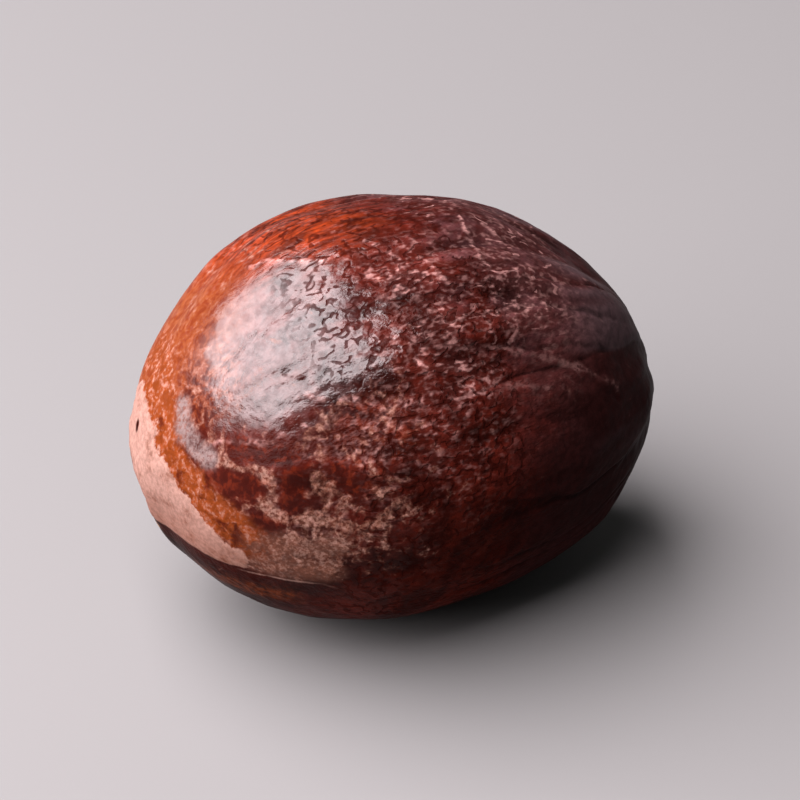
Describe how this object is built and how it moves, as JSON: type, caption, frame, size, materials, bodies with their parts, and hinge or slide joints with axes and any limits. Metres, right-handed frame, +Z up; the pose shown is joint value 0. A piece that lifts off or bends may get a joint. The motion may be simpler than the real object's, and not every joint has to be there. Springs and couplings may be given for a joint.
{
  "type": "whole nutmeg",
  "caption": "Whole nutmeg in its shell: a stout ovoid seed lying on its side, with shallow furrows, a raphe and a scar at each end.",
  "frame": {"origin": "on the resting surface, under the middle of the seed", "axes": "+Z up, +X along the seed from the broad end with the hilum towards the tip"},
  "size_m": [0.0312, 0.0244, 0.0231],
  "materials": {
    "shell": "glossy red-brown seed shell, orange and dusty in places, with a pale lime film at the broad end"
  },
  "bodies": {
    "root": {"nutmeg": "shell"}
  },
  "joints": []
}
